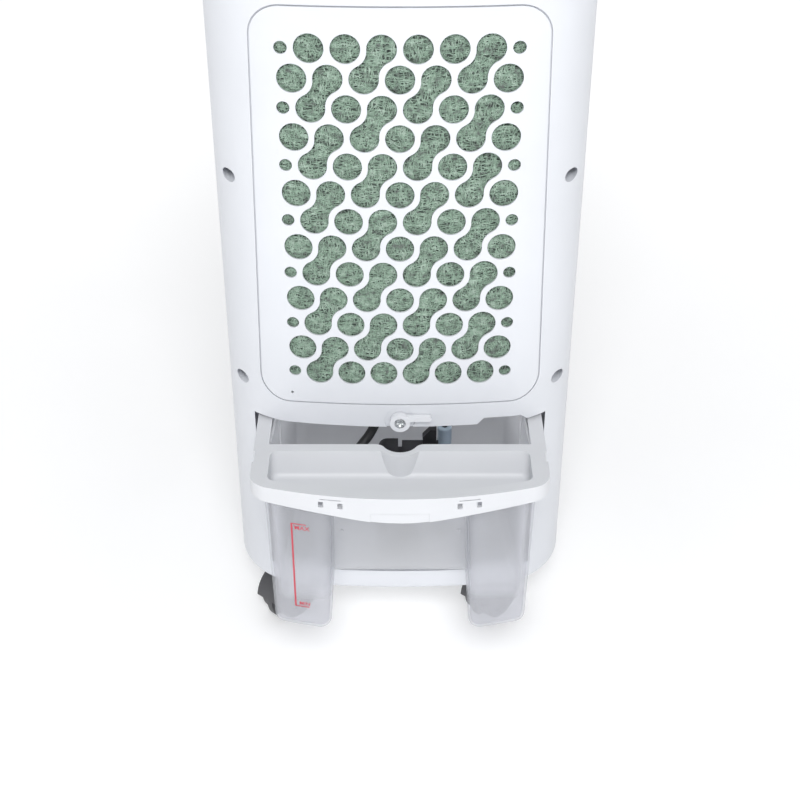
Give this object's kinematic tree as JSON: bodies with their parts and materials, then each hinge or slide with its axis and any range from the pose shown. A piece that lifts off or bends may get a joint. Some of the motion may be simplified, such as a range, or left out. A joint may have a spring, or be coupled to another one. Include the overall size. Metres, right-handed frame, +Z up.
{
  "type": "evaporative cooler",
  "caption": "Portable evaporative air cooler on casters with a perforated rear grille, wet pad, fan, swinging outlet vanes and a slide-out two-lobed water tank.",
  "frame": {"origin": "on the floor, under the centre of the housing", "axes": "+Z up, +Y to the rear (intake grille and tank), -Y to the front (air outlet)"},
  "size_m": [0.3165, 0.416, 0.7004],
  "materials": {
    "shell_white": "satin",
    "inner_white": "matte",
    "grille_white": "satin",
    "frame_white": "satin",
    "latch_white": "satin",
    "outlet_white": "matte",
    "tank_clear": "frosted",
    "pad_green": "open mesh",
    "black_plastic": "matte",
    "hose_black": "satin",
    "float_grey": "satin",
    "zinc_screw": "zinc plated",
    "fan_grey": "matte",
    "motor_metal": "satin",
    "board_green": "solder mask",
    "display_dark": "gloss",
    "button_grey": "satin",
    "bushing_black": "matte",
    "caster_grey": "satin",
    "wheel_grey": "matte"
  },
  "bodies": {
    "housing": {"rear_casing": "shell_white", "front_casing": "shell_white", "top_cover": "shell_white", "base_pan": "inner_white", "cooling_pad": "pad_green", "pad_frame": "inner_white", "water_distributor": "inner_white", "drip_tray": "inner_white", "riser_hose": "hose_black", "latch_screw": "zinc_screw", "casing_screws": "zinc_screw", "fan_shroud": "fan_grey", "motor_spider": "fan_grey", "fan_motor": "motor_metal", "outlet_frame": "outlet_white", "swing_motor": "motor_metal", "control_board": "board_green", "display_window": "display_dark", "cord_bushing": "bushing_black", "inlet_plate": "shell_white"},
    "tank": {"water_tank": "tank_clear", "tank_frame": "frame_white", "pump_body": "black_plastic", "pump_holder": "black_plastic", "float_stem": "black_plastic", "pump_hose": "hose_black"},
    "float": {"level_float": "float_grey"},
    "grille": {"rear_grille": "grille_white"},
    "latch": {"tank_latch": "latch_white"},
    "fan": {"fan_impeller": "fan_grey"},
    "louvre_link": {"louvre_link": "inner_white"},
    "vane_link": {"vane_link": "inner_white"},
    "louvre_1": {"louvre_1": "outlet_white"},
    "louvre_2": {"louvre_2": "outlet_white"},
    "louvre_3": {"louvre_3": "outlet_white"},
    "louvre_4": {"louvre_4": "outlet_white"},
    "louvre_5": {"louvre_5": "outlet_white"},
    "vane_1": {"vane_1": "outlet_white"},
    "vane_2": {"vane_2": "outlet_white"},
    "vane_3": {"vane_3": "outlet_white"},
    "vane_4": {"vane_4": "outlet_white"},
    "vane_5": {"vane_5": "outlet_white"},
    "button_1": {"button_1": "button_grey"},
    "button_2": {"button_2": "button_grey"},
    "button_3": {"button_3": "button_grey"},
    "button_4": {"button_4": "button_grey"},
    "button_5": {"button_5": "button_grey"},
    "caster_rear_left": {"caster_hood_rear_left": "caster_grey"},
    "wheels_rear_left": {"caster_wheels_rear_left": "wheel_grey"},
    "caster_rear_right": {"caster_hood_rear_right": "caster_grey"},
    "wheels_rear_right": {"caster_wheels_rear_right": "wheel_grey"},
    "caster_front_left": {"caster_hood_front_left": "caster_grey"},
    "wheels_front_left": {"caster_wheels_front_left": "wheel_grey"},
    "brake_front_left": {"brake_pedal_front_left": "caster_grey"},
    "caster_front_right": {"caster_hood_front_right": "caster_grey"},
    "wheels_front_right": {"caster_wheels_front_right": "wheel_grey"},
    "brake_front_right": {"brake_pedal_front_right": "caster_grey"}
  },
  "joints": [
    {"name": "tank_slide", "type": "slide", "parent": "housing", "child": "tank", "axis": [0, 1, 0], "range_m": [-0.107, 0.06], "deforming": ["pump_hose"]},
    {"name": "float_rise", "type": "slide", "parent": "tank", "child": "float", "axis": [0, 0, 1], "range_m": [0, 0.009]},
    {"name": "grille_release", "type": "slide", "parent": "housing", "child": "grille", "axis": [0, 1, 0], "range_m": [0, 0.08]},
    {"name": "latch_turn", "type": "hinge", "parent": "housing", "child": "latch", "pos_m": [0, 0.157, 0.2554], "axis": [0, -1, 0], "range_deg": [0, 90]},
    {"name": "fan_spin", "type": "hinge", "parent": "housing", "child": "fan", "pos_m": [0, 0, 0.5], "axis": [0, 1, 0], "continuous": true},
    {"name": "louvre_1_tilt", "type": "hinge", "parent": "housing", "child": "louvre_1", "pos_m": [0, -0.128, 0.422], "axis": [1, 0, 0], "range_deg": [-35, 35]},
    {"name": "louvre_2_tilt", "type": "hinge", "parent": "housing", "child": "louvre_2", "pos_m": [0, -0.128, 0.461], "axis": [1, 0, 0], "range_deg": [-35, 35]},
    {"name": "louvre_3_tilt", "type": "hinge", "parent": "housing", "child": "louvre_3", "pos_m": [0, -0.128, 0.5], "axis": [1, 0, 0], "range_deg": [-35, 35]},
    {"name": "louvre_4_tilt", "type": "hinge", "parent": "housing", "child": "louvre_4", "pos_m": [0, -0.128, 0.539], "axis": [1, 0, 0], "range_deg": [-35, 35]},
    {"name": "louvre_5_tilt", "type": "hinge", "parent": "housing", "child": "louvre_5", "pos_m": [0, -0.128, 0.578], "axis": [1, 0, 0], "range_deg": [-35, 35]},
    {"name": "louvre_link_turn", "type": "hinge", "parent": "louvre_1", "child": "louvre_link", "pos_m": [0.105, -0.116, 0.422], "axis": [1, 0, 0], "range_deg": [-35, 35]},
    {"name": "vane_1_swing", "type": "hinge", "parent": "housing", "child": "vane_1", "pos_m": [-0.08, -0.09, 0.5], "axis": [0, 0, 1], "range_deg": [-35, 35]},
    {"name": "vane_2_swing", "type": "hinge", "parent": "housing", "child": "vane_2", "pos_m": [-0.04, -0.09, 0.5], "axis": [0, 0, 1], "range_deg": [-35, 35]},
    {"name": "vane_3_swing", "type": "hinge", "parent": "housing", "child": "vane_3", "pos_m": [0, -0.09, 0.5], "axis": [0, 0, 1], "range_deg": [-35, 35]},
    {"name": "vane_4_swing", "type": "hinge", "parent": "housing", "child": "vane_4", "pos_m": [0.04, -0.09, 0.5], "axis": [0, 0, 1], "range_deg": [-35, 35]},
    {"name": "vane_5_swing", "type": "hinge", "parent": "housing", "child": "vane_5", "pos_m": [0.08, -0.09, 0.5], "axis": [0, 0, 1], "range_deg": [-35, 35]},
    {"name": "vane_link_turn", "type": "hinge", "parent": "vane_1", "child": "vane_link", "pos_m": [-0.08, -0.078, 0.587], "axis": [0, 0, 1], "range_deg": [-35, 35]},
    {"name": "button_1_press", "type": "slide", "parent": "housing", "child": "button_1", "axis": [0, 0, -1], "range_m": [0, 0.0008], "stiffness_N_per_m": 400, "springref_m": -0.002},
    {"name": "button_2_press", "type": "slide", "parent": "housing", "child": "button_2", "axis": [0, 0, -1], "range_m": [0, 0.0008], "stiffness_N_per_m": 400, "springref_m": -0.002},
    {"name": "button_3_press", "type": "slide", "parent": "housing", "child": "button_3", "axis": [0, 0, -1], "range_m": [0, 0.0008], "stiffness_N_per_m": 400, "springref_m": -0.002},
    {"name": "button_4_press", "type": "slide", "parent": "housing", "child": "button_4", "axis": [0, 0, -1], "range_m": [0, 0.0008], "stiffness_N_per_m": 400, "springref_m": -0.002},
    {"name": "button_5_press", "type": "slide", "parent": "housing", "child": "button_5", "axis": [0, 0, -1], "range_m": [0, 0.0008], "stiffness_N_per_m": 400, "springref_m": -0.002},
    {"name": "rear_left_swivel", "type": "hinge", "parent": "housing", "child": "caster_rear_left", "pos_m": [0.101, 0.105, 0.057], "axis": [0, 0, 1], "continuous": true},
    {"name": "rear_left_roll", "type": "hinge", "parent": "caster_rear_left", "child": "wheels_rear_left", "pos_m": [0.11, 0.11572, 0.025], "axis": [0.766, -0.6428, 0], "continuous": true},
    {"name": "rear_right_swivel", "type": "hinge", "parent": "housing", "child": "caster_rear_right", "pos_m": [-0.101, 0.105, 0.057], "axis": [0, 0, 1], "continuous": true},
    {"name": "rear_right_roll", "type": "hinge", "parent": "caster_rear_right", "child": "wheels_rear_right", "pos_m": [-0.092, 0.11572, 0.025], "axis": [0.766, -0.6428, 0], "continuous": true},
    {"name": "front_left_swivel", "type": "hinge", "parent": "housing", "child": "caster_front_left", "pos_m": [0.113, -0.108, 0.057], "axis": [0, 0, 1], "continuous": true},
    {"name": "front_left_roll", "type": "hinge", "parent": "caster_front_left", "child": "wheels_front_left", "pos_m": [0.113, -0.094, 0.025], "axis": [1, 0, 0], "continuous": true},
    {"name": "front_left_brake", "type": "hinge", "parent": "caster_front_left", "child": "brake_front_left", "pos_m": [0.113, -0.067, 0.043], "axis": [-1, 0, 0], "range_deg": [0, 14]},
    {"name": "front_right_swivel", "type": "hinge", "parent": "housing", "child": "caster_front_right", "pos_m": [-0.113, -0.108, 0.057], "axis": [0, 0, 1], "continuous": true},
    {"name": "front_right_roll", "type": "hinge", "parent": "caster_front_right", "child": "wheels_front_right", "pos_m": [-0.113, -0.094, 0.025], "axis": [1, 0, 0], "continuous": true},
    {"name": "front_right_brake", "type": "hinge", "parent": "caster_front_right", "child": "brake_front_right", "pos_m": [-0.113, -0.067, 0.043], "axis": [-1, 0, 0], "range_deg": [0, 14]}
  ],
  "couplings": [
    {"joint": "louvre_2_tilt", "follows": "louvre_1_tilt", "ratio": 1},
    {"joint": "louvre_3_tilt", "follows": "louvre_1_tilt", "ratio": 1},
    {"joint": "louvre_4_tilt", "follows": "louvre_1_tilt", "ratio": 1},
    {"joint": "louvre_5_tilt", "follows": "louvre_1_tilt", "ratio": 1},
    {"joint": "louvre_link_turn", "follows": "louvre_1_tilt", "ratio": -1},
    {"joint": "vane_2_swing", "follows": "vane_1_swing", "ratio": 1},
    {"joint": "vane_3_swing", "follows": "vane_1_swing", "ratio": 1},
    {"joint": "vane_4_swing", "follows": "vane_1_swing", "ratio": 1},
    {"joint": "vane_5_swing", "follows": "vane_1_swing", "ratio": 1},
    {"joint": "vane_link_turn", "follows": "vane_1_swing", "ratio": -1}
  ]
}
